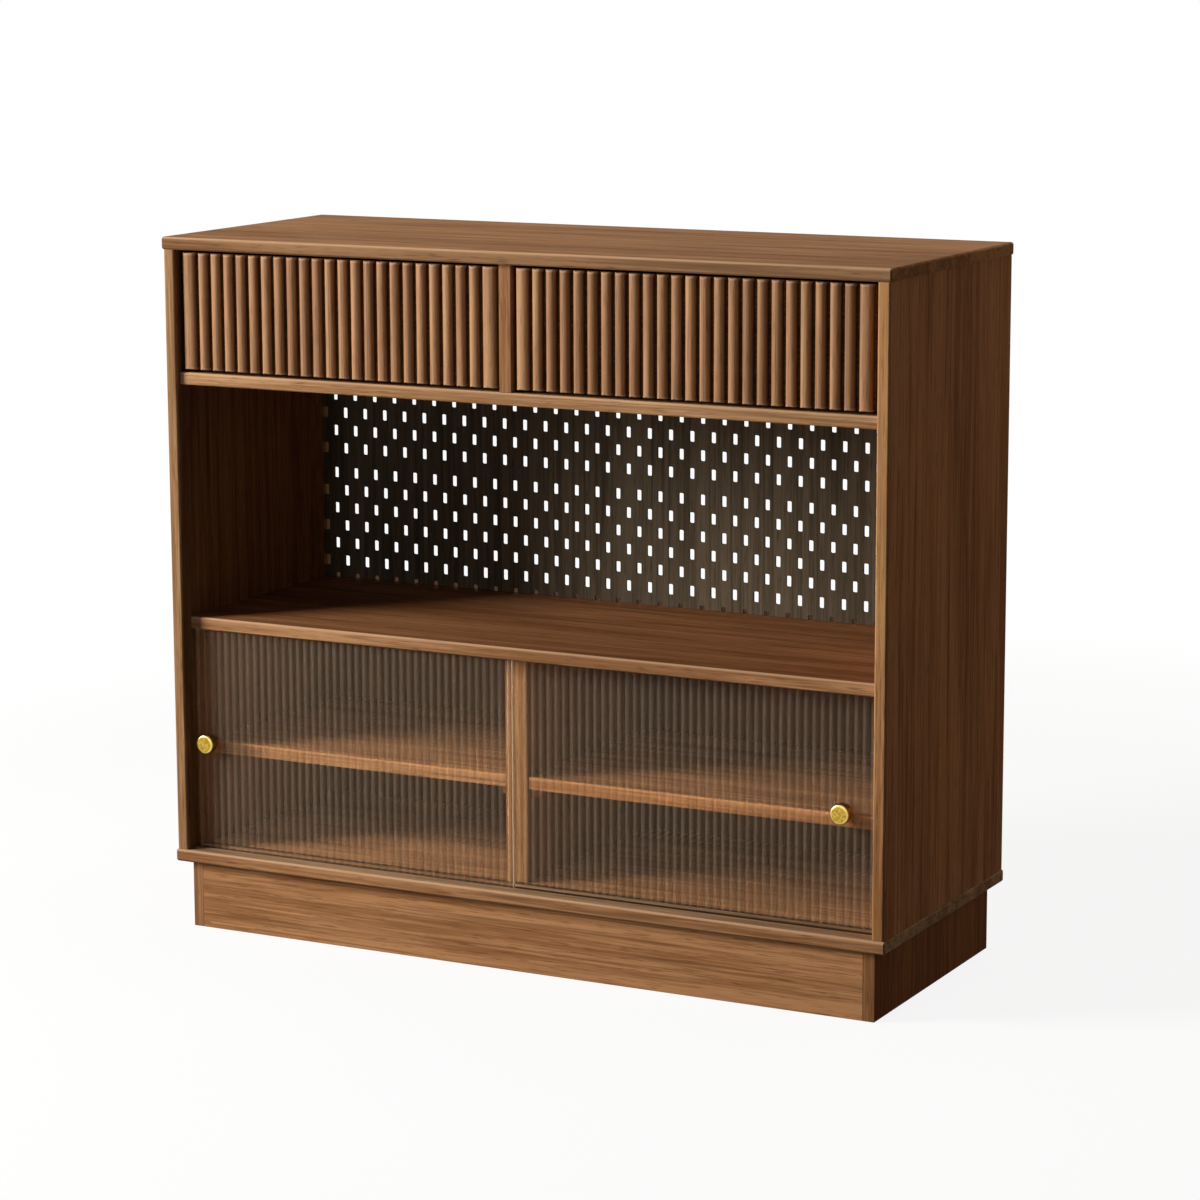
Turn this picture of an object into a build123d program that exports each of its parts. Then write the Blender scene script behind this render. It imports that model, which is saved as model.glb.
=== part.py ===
from build123d import *
import os

# Media cabinet: two slatted drawers over an open niche with a slotted back board,
# two sliding fluted-glass doors below, all standing on a recessed plinth.
# Millimetres. X runs along the width, the front faces -Y, the floor is Z = 0.

# Overall size
WIDTH = 1000
DEPTH = 385
HEIGHT = 900
BOARD = 16
PLINTH_H = 88
FRONT = -DEPTH / 2
REAR = DEPTH / 2

# Carcass: heights of the horizontal boards and how far each stands back
SIDE_INSET = 2
SIDE_OUT = WIDTH / 2 - SIDE_INSET
SIDE_IN = SIDE_OUT - BOARD
SIDE_FRONT = FRONT + 1.5
SIDE_REAR = REAR - 1.5
BOTTOM_TOP = PLINTH_H + BOARD
TOP_UNDER = HEIGHT - BOARD
SHELF_UNDER = 394
SHELF_TOP = SHELF_UNDER + BOARD
SHELF_FRONT = -172
DECK_UNDER = 712
DECK_TOP = DECK_UNDER + BOARD
DECK_FRONT = -183
EASE = 2

# Upright boards near the middle: the divider stands half a slat left of centre,
# and the partition behind the glass is two boards thick and farther left
DIVIDER_X = -10
DIVIDER_T = 18
PARTITION_X = -23
PARTITION_T = 2 * BOARD
PARTITION_FRONT = -139.5
HOUSING = 4
HOUSING_STOP = 12

# Slotted back board of the niche
PEG_FRONT = 162
PEG_T = 3
PEG_IN = 5.5
SLOT_W = 7.8
SLOT_H = 15
SLOT_PITCH_X = 30.69
SLOT_PITCH_Z = 24.2
SLOT_SHIFT = -3
SLOTS_WIDE = 32
UPPER_ROW_TOP = 684.3
UPPER_ROWS = 5
LOWER_ROW_TOP = 554
LOWER_ROWS = 7

# Thin backs behind the drawers and behind the lower compartments
BACK_FRONT = 178
BACK_T = 5
BACK_IN = 5
GROOVE_GAP = 0.1

# Inner shelves lying on cleats
INNER_SHELF_UNDER = 224
INNER_SHELF_Y = (-137.5, 172)
SHELF_GAP = 0.5
CLEAT = 12
CLEAT_Y = (-125, 172)

# Plinth
PLINTH_T = 15
PLINTH_X = 482
PLINTH_FRONT = -179.5
PLINTH_REAR = 183.5
BLOCK = 30

# Door tracks and doors
TRACK_Y = (-164, -144)
TRACK_W = 8.6
TRACK_WALL = 1.2
TRACK_X = SIDE_IN - 0.5
LOWER_TRACK_H = 5
UPPER_TRACK_H = 10
GLASS_T = 5
GLASS_Z = (100.3, 397.5)
FLUTE = 10.86
FLUTE_DEPTH = 0.45
LEFT_GLASS_X = (-481, -13)
RIGHT_GLASS_X = (-32, 481)
LEFT_KNOB_X = -461
RIGHT_KNOB_X = 425.5
KNOB_Z = 244
KNOB_R = 12.4
KNOB_H = 13.5
NECK_R = 4.5
NECK_H = 5

# Drawers
SLAT_PITCH = 18.65
SLAT_GAP = 3
SLAT_DEPTH = 7.8
SLAT_CROWN = 5
FRONT_T = 15
FRONT_BOARD_Y = -175.7
FRONT_Z = (732, 880)
BOX_T = 12
BOX_LENGTH = 300
BOX_Z = (742, 862)
BOX_REAR = FRONT_BOARD_Y + FRONT_T + BOX_LENGTH
DRAWER_BOTTOM_Z = 750
DRAWER_BOTTOM_T = 5
DRAWER_BOTTOM_IN = 6
LEFT_FRONT_X = (-479, -21.5)
LEFT_SLATS = 24
RIGHT_FRONT_X = (1.5, 474.5)
RIGHT_SLATS = 25

# Telescopic runners: three nested steel channels on each side of a drawer
RUNNER_T = 12.7
RUNNER_Z = 800
RUNNER_Y = (-160, 140)
RUNNER_STEEL = 1.2

# Push latches behind the drawers
LATCH_W = 16
LATCH_Y = (141, 177)
LATCH_H = 44
PLUNGER = 8
PLUNGER_GAP = 0.05
PLUNGER_Z = 762
PLUNGER_Y = (BOX_REAR + 0.3, 165)

os.makedirs("parts", exist_ok=True)


def board(x, y, z):
    """A flat board between two limits on each axis."""
    centre = Pos(sum(x) / 2, sum(y) / 2, sum(z) / 2)
    return centre * Box(x[1] - x[0], y[1] - y[0], z[1] - z[0])


def rod_y(radius, x, y, z):
    """A round rod along Y between two limits."""
    return Pos(x, sum(y) / 2, z) * Rot(90, 0, 0) * Cylinder(radius, y[1] - y[0])


def spread(count, pitch):
    """Positions of a row of equal steps centred on zero."""
    return [(i - (count - 1) / 2) * pitch for i in range(count)]


def eased(part, along, size=EASE):
    """Bevel the front edges that run along one axis."""
    return chamfer(part.edges().filter_by(along).group_by(Axis.Y)[0], size)


def save(name, *pieces):
    """Write one node: a single solid, or a group of equal ones."""
    shape = pieces[0] if len(pieces) == 1 else Compound(children=list(pieces))
    export_step(shape, f"parts/{name}.step")


# Grooves shared by several boards: the slotted board, the thin backs, the tracks
peg_x = SIDE_IN + PEG_IN
peg_y = (PEG_FRONT, PEG_FRONT + PEG_T)
peg_z = (SHELF_TOP - PEG_IN - 1, DECK_UNDER + PEG_IN)
peg_groove = board(
    (-peg_x - 0.5, peg_x + 0.5),
    (peg_y[0] - GROOVE_GAP, peg_y[1] + GROOVE_GAP),
    (peg_z[0] - 0.5, peg_z[1] + 0.5),
)

back_x = SIDE_IN + BACK_IN
back_y = (BACK_FRONT, BACK_FRONT + BACK_T)
upper_back_z = (DECK_TOP - BACK_IN, TOP_UNDER + BACK_IN)
lower_back_z = (BOTTOM_TOP - BACK_IN, SHELF_UNDER + BACK_IN)
back_grooves = [
    board(
        (-back_x - GROOVE_GAP, back_x + GROOVE_GAP),
        (back_y[0] - GROOVE_GAP, back_y[1] + GROOVE_GAP),
        (z[0] - GROOVE_GAP, z[1] + GROOVE_GAP),
    )
    for z in (upper_back_z, lower_back_z)
]

lower_track_z = (BOTTOM_TOP - LOWER_TRACK_H, BOTTOM_TOP)
upper_track_z = (SHELF_UNDER, SHELF_UNDER + UPPER_TRACK_H)
track_grooves = [
    board((-SIDE_IN, SIDE_IN), (y - TRACK_W / 2, y + TRACK_W / 2), z)
    for y in TRACK_Y
    for z in (lower_track_z, upper_track_z)
]

# Deck under the drawers and main shelf over the doors, tongued into the sides
tongue_x = SIDE_IN + HOUSING


def tongued_shelf(front, z):
    """A shelf whose ends enter stopped housings in the side panels."""
    wide = board((-SIDE_IN, SIDE_IN), (front, SIDE_REAR), z)
    wide = eased(wide, Axis.X, 1.5)
    return wide + board((-tongue_x, tongue_x), (front + HOUSING_STOP, SIDE_REAR), z)


deck = tongued_shelf(DECK_FRONT, (DECK_UNDER, DECK_TOP))
shelf = tongued_shelf(SHELF_FRONT, (SHELF_UNDER, SHELF_TOP))


def tongued_upright(x, front, z):
    """An upright board whose ends enter stopped housings above and below."""
    upright = eased(board(x, (front, BACK_FRONT), z), Axis.Z, 1.5)
    tongue_y = (front + HOUSING_STOP, BACK_FRONT)
    return upright + board(x, tongue_y, (z[0] - HOUSING, z[1] + HOUSING))


divider_faces = (DIVIDER_X - DIVIDER_T / 2, DIVIDER_X + DIVIDER_T / 2)
partition_faces = (PARTITION_X - PARTITION_T / 2, PARTITION_X + PARTITION_T / 2)
divider = tongued_upright(divider_faces, DECK_FRONT, (DECK_TOP, TOP_UNDER))
partition = tongued_upright(partition_faces, PARTITION_FRONT, (BOTTOM_TOP, SHELF_UNDER))

# Side panels with housings for the shelves and grooves for the backs
sides = {}
for name, x in (
    ("left_side_panel", (-SIDE_OUT, -SIDE_IN)),
    ("right_side_panel", (SIDE_IN, SIDE_OUT)),
):
    side = board(x, (SIDE_FRONT, SIDE_REAR), (BOTTOM_TOP, TOP_UNDER))
    side = eased(side, Axis.Z)
    tongue_y = (SIDE_FRONT + HOUSING_STOP, SIDE_REAR - HOUSING_STOP)
    side = side + board(x, tongue_y, (BOTTOM_TOP - HOUSING, TOP_UNDER + HOUSING))
    sides[name] = side - [deck, shelf, peg_groove, *back_grooves]
    save(name, sides[name])

# Top and bottom panels, bevelled on every outer edge
slab_x = (-WIDTH / 2, WIDTH / 2)
top = board(slab_x, (FRONT, REAR), (TOP_UNDER, HEIGHT))
top = chamfer(top.edges(), EASE)
save("top_panel", top - [back_grooves[0], divider, *sides.values()])

bottom = board(slab_x, (FRONT, REAR), (PLINTH_H, BOTTOM_TOP))
bottom = chamfer(bottom.edges(), EASE)
bottom = bottom - [back_grooves[1], partition, *track_grooves]
save("bottom_panel", bottom - [*sides.values()])

save("drawer_deck", deck - [peg_groove, back_grooves[0], divider])
save("main_shelf", shelf - [peg_groove, back_grooves[1], partition, *track_grooves])
save("drawer_divider", divider)
save("lower_partition", partition)

# Inner shelves behind the glass, each on two cleats
inner_z = (INNER_SHELF_UNDER, INNER_SHELF_UNDER + BOARD)
left_inner_x = (-SIDE_IN + SHELF_GAP, partition_faces[0] - SHELF_GAP)
right_inner_x = (partition_faces[1] + SHELF_GAP, SIDE_IN - SHELF_GAP)
for name, x in (
    ("left_inner_shelf", left_inner_x),
    ("right_inner_shelf", right_inner_x),
):
    save(name, board(x, INNER_SHELF_Y, inner_z))
cleat_z = (INNER_SHELF_UNDER - CLEAT, INNER_SHELF_UNDER)
cleats = [
    board(x, CLEAT_Y, cleat_z)
    for x in (
        (-SIDE_IN, -SIDE_IN + CLEAT),
        (partition_faces[0] - CLEAT, partition_faces[0]),
        (partition_faces[1], partition_faces[1] + CLEAT),
        (SIDE_IN - CLEAT, SIDE_IN),
    )
]
save("shelf_cleats", *cleats)

# Slotted board: staggered rows of upright slots with a plain band across the middle
rows = []
for first, count, offset in (
    (UPPER_ROW_TOP, UPPER_ROWS, 0),
    (LOWER_ROW_TOP, LOWER_ROWS, 1),
):
    for i in range(count):
        rows.append((first - i * SLOT_PITCH_Z, SLOTS_WIDE - (i + offset) % 2))
slots = [
    Pos(x + SLOT_SHIFT, z) * Rectangle(SLOT_W, SLOT_H)
    for z, wide in rows
    for x in spread(wide, SLOT_PITCH_X)
]
peg_face = Pos(0, sum(peg_z) / 2) * Rectangle(2 * peg_x, peg_z[1] - peg_z[0])
peg_plane = Plane(origin=(0, peg_y[1], 0), x_dir=(1, 0, 0), z_dir=(0, -1, 0))
save("pegboard", extrude(peg_plane * (peg_face - slots), amount=PEG_T))

# Thin backs
save("upper_back_panel", board((-back_x, back_x), back_y, upper_back_z))
save("lower_back_panel", board((-back_x, back_x), back_y, lower_back_z))

# Plinth boards, with glued blocks in the corners
plinth_z = (0, PLINTH_H)
plinth_y = (PLINTH_FRONT, PLINTH_REAR)
plinth_in = PLINTH_X - PLINTH_T
between_x = (-plinth_in, plinth_in)
front_y = (PLINTH_FRONT, PLINTH_FRONT + PLINTH_T)
rear_y = (PLINTH_REAR - PLINTH_T, PLINTH_REAR)
brace_x = (-PLINTH_T / 2, PLINTH_T / 2)
save("plinth_left_side", board((-PLINTH_X, -plinth_in), plinth_y, plinth_z))
save("plinth_right_side", board((plinth_in, PLINTH_X), plinth_y, plinth_z))
save("plinth_front", board(between_x, front_y, plinth_z))
save("plinth_back", board(between_x, rear_y, plinth_z))
save("plinth_brace", board(brace_x, (front_y[1], rear_y[0]), plinth_z))
blocks = [
    board(x, y, plinth_z)
    for x in ((-plinth_in, -plinth_in + BLOCK), (plinth_in - BLOCK, plinth_in))
    for y in ((front_y[1], front_y[1] + BLOCK), (rear_y[0] - BLOCK, rear_y[0]))
]
save("plinth_corner_blocks", *blocks)


# Door tracks: plastic channels let into the bottom panel and the main shelf
def track(y, z, open_up):
    """A channel open at the top or at the bottom."""
    x = (-TRACK_X, TRACK_X)
    inner = TRACK_W / 2 - TRACK_WALL
    room_z = (z[0] + TRACK_WALL, z[1]) if open_up else (z[0], z[1] - TRACK_WALL)
    channel = board(x, (y - TRACK_W / 2, y + TRACK_W / 2), z)
    return channel - board(x, (y - inner, y + inner), room_z)


save("lower_door_tracks", *[track(y, lower_track_z, True) for y in TRACK_Y])
save("upper_door_tracks", *[track(y, upper_track_z, False) for y in TRACK_Y])


# Doors: a pane fluted on its front face and a brass knob bonded to it
def fluted_pane(x, y):
    """A pane whose front face is a row of shallow round ribs."""
    crest = y - GLASS_T / 2
    valley = crest + FLUTE_DEPTH
    rear = y + GLASS_T / 2
    count = round((x[1] - x[0]) / FLUTE)
    step = (x[1] - x[0]) / count
    ribs = []
    for i in range(count):
        start = x[0] + i * step
        middle = (start + step / 2, crest)
        ribs.append(ThreePointArc((start, valley), middle, (start + step, valley)))
    rest = Polyline((x[1], valley), (x[1], rear), (x[0], rear), (x[0], valley))
    section = make_face([*ribs, rest])
    return extrude(Pos(0, 0, GLASS_Z[0]) * section, amount=GLASS_Z[1] - GLASS_Z[0])


def knob(x, y):
    """A round knob on a neck, seated on the crests of the ribs."""
    seat = y - GLASS_T / 2
    neck = rod_y(NECK_R, x, (seat - NECK_H, seat), KNOB_Z)
    return neck + rod_y(KNOB_R, x, (seat - KNOB_H, seat - NECK_H), KNOB_Z)


for hand, x, y, knob_x in (
    ("left", LEFT_GLASS_X, TRACK_Y[0], LEFT_KNOB_X),
    ("right", RIGHT_GLASS_X, TRACK_Y[1], RIGHT_KNOB_X),
):
    save(f"{hand}_door_glass", fluted_pane(x, y))
    save(f"{hand}_door_knob", knob(knob_x, y))


# Drawers
def slat(x, width):
    """A slat glued to the drawer front: short straight flanks under a round crown."""
    left = x + SLAT_GAP / 2
    right = x + width - SLAT_GAP / 2
    shoulder = FRONT_BOARD_Y - SLAT_DEPTH + SLAT_CROWN
    crest = (x + width / 2, FRONT_BOARD_Y - SLAT_DEPTH)
    crown = ThreePointArc((left, shoulder), crest, (right, shoulder))
    foot = Polyline((right, shoulder), (right, FRONT_BOARD_Y), (left, FRONT_BOARD_Y), (left, shoulder))
    section = make_face([crown, foot])
    return extrude(Pos(0, 0, FRONT_Z[0]) * section, amount=FRONT_Z[1] - FRONT_Z[0])


def channel(wall, out, reach, half, facing_room):
    """One steel channel of a runner: a web and two flanges.

    wall is the face the runner is screwed to and out the way into the drawer space.
    """
    web, tip = reach
    web_x = sorted((wall + out * web, wall + out * (web + RUNNER_STEEL)))
    all_x = sorted((wall + out * web, wall + out * tip))
    if not facing_room:
        web_x = sorted((wall + out * (tip - RUNNER_STEEL), wall + out * tip))
    z = (RUNNER_Z - half, RUNNER_Z + half)
    flange = half - RUNNER_STEEL
    room = board(all_x, RUNNER_Y, (RUNNER_Z - flange, RUNNER_Z + flange))
    return board(all_x, RUNNER_Y, z) - room + board(web_x, RUNNER_Y, z)


def drawer(hand, front_x, count, walls):
    """One drawer and its runners between two upright walls.

    The two end slats are wider and share what the equal ones between them leave.
    """
    end_width = (front_x[1] - front_x[0] - (count - 2) * SLAT_PITCH) / 2
    widths = [end_width] + [SLAT_PITCH] * (count - 2) + [end_width]
    starts = [front_x[0] + sum(widths[:i]) for i in range(count)]
    save(f"{hand}_drawer_slats", *[slat(x, w) for x, w in zip(starts, widths)])

    box_x = (walls[0] + RUNNER_T, walls[1] - RUNNER_T)
    inner_x = (box_x[0] + BOX_T, box_x[1] - BOX_T)
    front_y = (FRONT_BOARD_Y, FRONT_BOARD_Y + FRONT_T)
    box_y = (front_y[1], BOX_REAR)
    bottom_z = (DRAWER_BOTTOM_Z, DRAWER_BOTTOM_Z + DRAWER_BOTTOM_T)
    bottom_x = (inner_x[0] - DRAWER_BOTTOM_IN, inner_x[1] + DRAWER_BOTTOM_IN)
    bottom_y = (front_y[1] - DRAWER_BOTTOM_IN, BOX_REAR)
    groove = board(
        (bottom_x[0] - GROOVE_GAP, bottom_x[1] + GROOVE_GAP),
        (bottom_y[0] - GROOVE_GAP, bottom_y[1]),
        (bottom_z[0] - GROOVE_GAP, bottom_z[1] + GROOVE_GAP),
    )
    face = board(front_x, front_y, FRONT_Z)
    save(f"{hand}_drawer_front", face - groove)
    left_side = board((box_x[0], inner_x[0]), box_y, BOX_Z)
    right_side = board((inner_x[1], box_x[1]), box_y, BOX_Z)
    save(f"{hand}_drawer_left_side", left_side - groove)
    save(f"{hand}_drawer_right_side", right_side - groove)
    back_y = (BOX_REAR - BOX_T, BOX_REAR)
    back_z = (bottom_z[1] + GROOVE_GAP, BOX_Z[1])
    save(f"{hand}_drawer_back", board(inner_x, back_y, back_z))
    save(f"{hand}_drawer_bottom", board(bottom_x, bottom_y, bottom_z))

    members = (
        ("cabinet", (0, 9.5), 22.5, True),
        ("middle", (3, 10.5), 18.5, True),
        ("drawer", (6.5, RUNNER_T), 14, False),
    )
    for member, reach, half, facing_room in members:
        pair = [
            channel(wall, out, reach, half, facing_room)
            for wall, out in ((walls[0], 1), (walls[1], -1))
        ]
        save(f"{hand}_runner_{member}_members", *pair)
    return sum(box_x) / 2


latch_x = [
    drawer("left", LEFT_FRONT_X, LEFT_SLATS, (-SIDE_IN, divider_faces[0])),
    drawer("right", RIGHT_FRONT_X, RIGHT_SLATS, (divider_faces[1], SIDE_IN)),
]

# Push latches: a housing on the deck with a square plunger just off the drawer back
latch_z = (DECK_TOP, DECK_TOP + LATCH_H)
housings = []
plungers = []
for x in latch_x:
    half = PLUNGER / 2
    hole = half + PLUNGER_GAP
    housing = board((x - LATCH_W / 2, x + LATCH_W / 2), LATCH_Y, latch_z)
    bore_y = (LATCH_Y[0], PLUNGER_Y[1] + PLUNGER_GAP)
    bore = board((x - hole, x + hole), bore_y, (PLUNGER_Z - hole, PLUNGER_Z + hole))
    housings.append(housing - bore)
    plunger_z = (PLUNGER_Z - half, PLUNGER_Z + half)
    plungers.append(board((x - half, x + half), PLUNGER_Y, plunger_z))
save("push_latch_housings", *housings)
save("push_latch_plungers", *plungers)
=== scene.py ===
import math

import bmesh
import bpy
from mathutils import Matrix, Vector


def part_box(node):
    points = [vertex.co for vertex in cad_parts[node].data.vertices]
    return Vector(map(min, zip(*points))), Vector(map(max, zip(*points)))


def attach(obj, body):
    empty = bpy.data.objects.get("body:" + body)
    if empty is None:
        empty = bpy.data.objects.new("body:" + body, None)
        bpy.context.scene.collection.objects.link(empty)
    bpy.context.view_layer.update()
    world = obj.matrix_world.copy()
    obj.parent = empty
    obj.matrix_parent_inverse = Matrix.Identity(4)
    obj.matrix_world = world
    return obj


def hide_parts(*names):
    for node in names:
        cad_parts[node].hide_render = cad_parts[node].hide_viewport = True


MM = 0.001
MERGE = 0.001 * MM
HANDS = ("left", "right")

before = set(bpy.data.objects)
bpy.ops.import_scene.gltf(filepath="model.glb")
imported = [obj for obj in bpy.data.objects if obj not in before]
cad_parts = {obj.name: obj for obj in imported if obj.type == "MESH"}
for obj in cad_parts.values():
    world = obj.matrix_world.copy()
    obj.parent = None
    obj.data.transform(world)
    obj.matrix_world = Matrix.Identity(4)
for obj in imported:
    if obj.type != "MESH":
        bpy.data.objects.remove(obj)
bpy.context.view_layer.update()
scene = bpy.context.scene
scene.view_settings.view_transform = "Standard"


# Node helpers

# sockets of a Mix node that mixes colours
MIX_FACTOR = 0
MIX_A = 6
MIX_B = 7
MIX_RESULT = 2

# the mean of a noise or of a random value, the range that a noise mostly keeps to,
# and the detail of a very fine one
MEAN = 0.5
NOISE_SPAN = (0.3, 0.7)
FINE_DETAIL = 2.0


def feed(tree, socket, value):
    """Link a socket to another node's output, or set it to a plain value."""
    if isinstance(value, bpy.types.NodeSocket):
        tree.links.new(value, socket)
    else:
        socket.default_value = value


def node(tree, kind, settings=None, **inputs):
    """Add a node, set its properties and feed its inputs, by name or as i0, i1 and so on by number."""
    made = tree.nodes.new(kind)
    for key, value in (settings or {}).items():
        setattr(made, key, value)
    for key, value in inputs.items():
        name = int(key[1:]) if key[0] == "i" and key[1:].isdigit() else key.replace("_", " ")
        feed(tree, made.inputs[name], value)
    return made


def math_node(tree, operation, a, b=0.0, clamp=False):
    """One Math node's result."""
    made = node(tree, "ShaderNodeMath", {"operation": operation, "use_clamp": clamp}, i0=a, i1=b)
    return made.outputs[0]


def vector_node(tree, operation, **inputs):
    """The outputs of one Vector Math node."""
    return node(tree, "ShaderNodeVectorMath", {"operation": operation}, **inputs).outputs


def mixed(tree, factor, a, b, blend="MIX"):
    """A mix of two colours."""
    made = node(tree, "ShaderNodeMix", {"data_type": "RGBA", "blend_type": blend})
    for number, value in ((MIX_FACTOR, factor), (MIX_A, a), (MIX_B, b)):
        feed(tree, made.inputs[number], value)
    return made.outputs[MIX_RESULT]


def ramped(tree, value, low, high, start=0.0, end=1.0):
    """A value mapped smoothly from one range to another."""
    smooth = {"interpolation_type": "SMOOTHSTEP"}
    made = node(tree, "ShaderNodeMapRange", smooth, i0=value, i1=low, i2=high, i3=start, i4=end)
    return made.outputs[0]


def noise(tree, vector, scale, detail=3.0, rough=0.55, distortion=0.0):
    """A noise value."""
    made = node(
        tree,
        "ShaderNodeTexNoise",
        None,
        Vector=vector,
        Scale=scale,
        Detail=detail,
        Roughness=rough,
        Distortion=distortion,
    )
    return made.outputs[0]


def object_place(tree):
    """Where a point lies on the object, in metres."""
    return node(tree, "ShaderNodeTexCoord").outputs["Object"]


def axes(tree, place):
    """A place's X, Y and Z."""
    return node(tree, "ShaderNodeSeparateXYZ", None, Vector=place).outputs


def away_from(tree, value, level):
    """The distance of a value from a level, on either side."""
    return math_node(tree, "ABSOLUTE", math_node(tree, "SUBTRACT", value, level))


def fine_relief(tree, shader, strength, relief, height):
    """Fine relief of a surface, from a height value."""
    made = node(tree, "ShaderNodeBump", None, Strength=strength, Distance=relief, Height=height)
    tree.links.new(made.outputs[0], shader.inputs["Normal"])


def blank_material(name):
    """A material with one Principled shader."""
    made = bpy.data.materials.new(name)
    made.use_nodes = True
    tree = made.node_tree
    return made, tree, tree.nodes["Principled BSDF"]


def srgb(r, g, b):
    """A linear colour from 8-bit display values, by the standard display curve."""

    def linear(v):
        v = v / 255
        return v / 12.92 if v <= 0.04045 else ((v + 0.055) / 1.055) ** 2.4

    return (linear(r), linear(g), linear(b), 1.0)


# Wood

GRAIN_TURN = {"X": (0, 0, 0), "Y": (0, 0, -math.pi / 2), "Z": (0, math.pi / 2, 0)}
SEED_STEPS = (0.37, 0.53, 0.71)

# each noise of the grain: stretch along the grain, scale, detail, roughness, distortion
BROAD = (0.12, 11.0, 3.0, 0.5, 0.4)
BANDS = (0.035, 62.0, 4.0, 0.6, 0.5)
STREAKS = (0.022, 300.0, 4.0, 0.65, 0.0)
PORES = (0.05, 640.0, 2.0, 0.5, 0.0)
RINGS = (0.016, 48.0, 2.0, 0.4, 0.6)
BROAD_SHARE = 0.3
BANDS_SHARE = 0.35
STREAKS_SHARE = 0.35
PORE_SPAN = (0.54, 0.7)
PORE_SHARE = 0.5
RING_WIDTH = 0.03
RING_SHARE = 0.42

WOOD_ROUGH = (0.6, 0.48)
WOOD_SPECULAR = 0.005
STREAK_RELIEF = 0.6
GRAIN_BUMP = 0.12
GRAIN_RELIEF = 0.4 * MM

NEAR_FULL = 0.3
# painted highlight: a lighter tone along upper front arrises and at slat ends, standing in for light
# caught by the edges
EDGE_HIGHLIGHT_REACH = 4.0 * MM
EDGE_HIGHLIGHT_SHARE = 0.55
EDGE_HIGHLIGHT_TONE = srgb(216, 176, 138)
LOWER_END_HIGHLIGHT = 0.5
# painted light and shade: how far the front-face tint reaches, laid over a real edge-band tone
BAND_LIGHTING_REACH = 2.0 * MM
# painted shade: a darker tone towards the base of the slats, between the bars
RECESS_SHADE_SHARE = 0.72
RECESS_SHADE_TONE = srgb(52, 24, 8)

# tones of each wood: light, dark, pores
WALNUT = (srgb(178, 131, 92), srgb(136, 93, 60), srgb(86, 54, 32))
BACK = (srgb(102, 69, 45), srgb(74, 49, 31), srgb(50, 32, 20))
BIRCH = (srgb(204, 172, 128), srgb(184, 148, 104), srgb(150, 114, 76))
SMOKED = (srgb(108, 95, 78), srgb(77, 67, 54), srgb(49, 42, 33))


def tinted(tones, tint):
    """The same wood, lighter, darker or of another hue."""
    return [(r * tint[0], g * tint[1], b * tint[2], a) for r, g, b, a in tones]


def near(tree, value, edge, reach):
    """1 at an edge, falling to 0 at a distance from it."""
    return ramped(tree, away_from(tree, value, edge), NEAR_FULL * reach, reach, 1.0, 0.0)


def painted_arris_highlight(tree, place, box):
    """Painted highlight: a mask along the upper front edge of a board, where light catches the arris."""
    low, high = box
    _, depth, height = axes(tree, place)
    front = near(tree, depth, low[1], EDGE_HIGHLIGHT_REACH)
    top = near(tree, height, high[2], EDGE_HIGHLIGHT_REACH)
    return math_node(tree, "MULTIPLY", front, top)


def painted_end_highlight(tree, place, box):
    """Painted highlight: a mask at the upper end of a slat, and weaker at its lower end."""
    low, high = box
    height = axes(tree, place)[2]
    top = near(tree, height, high[2], EDGE_HIGHLIGHT_REACH)
    bottom = near(tree, height, low[2], EDGE_HIGHLIGHT_REACH)
    return math_node(tree, "ADD", top, math_node(tree, "MULTIPLY", bottom, LOWER_END_HIGHLIGHT))


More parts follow.
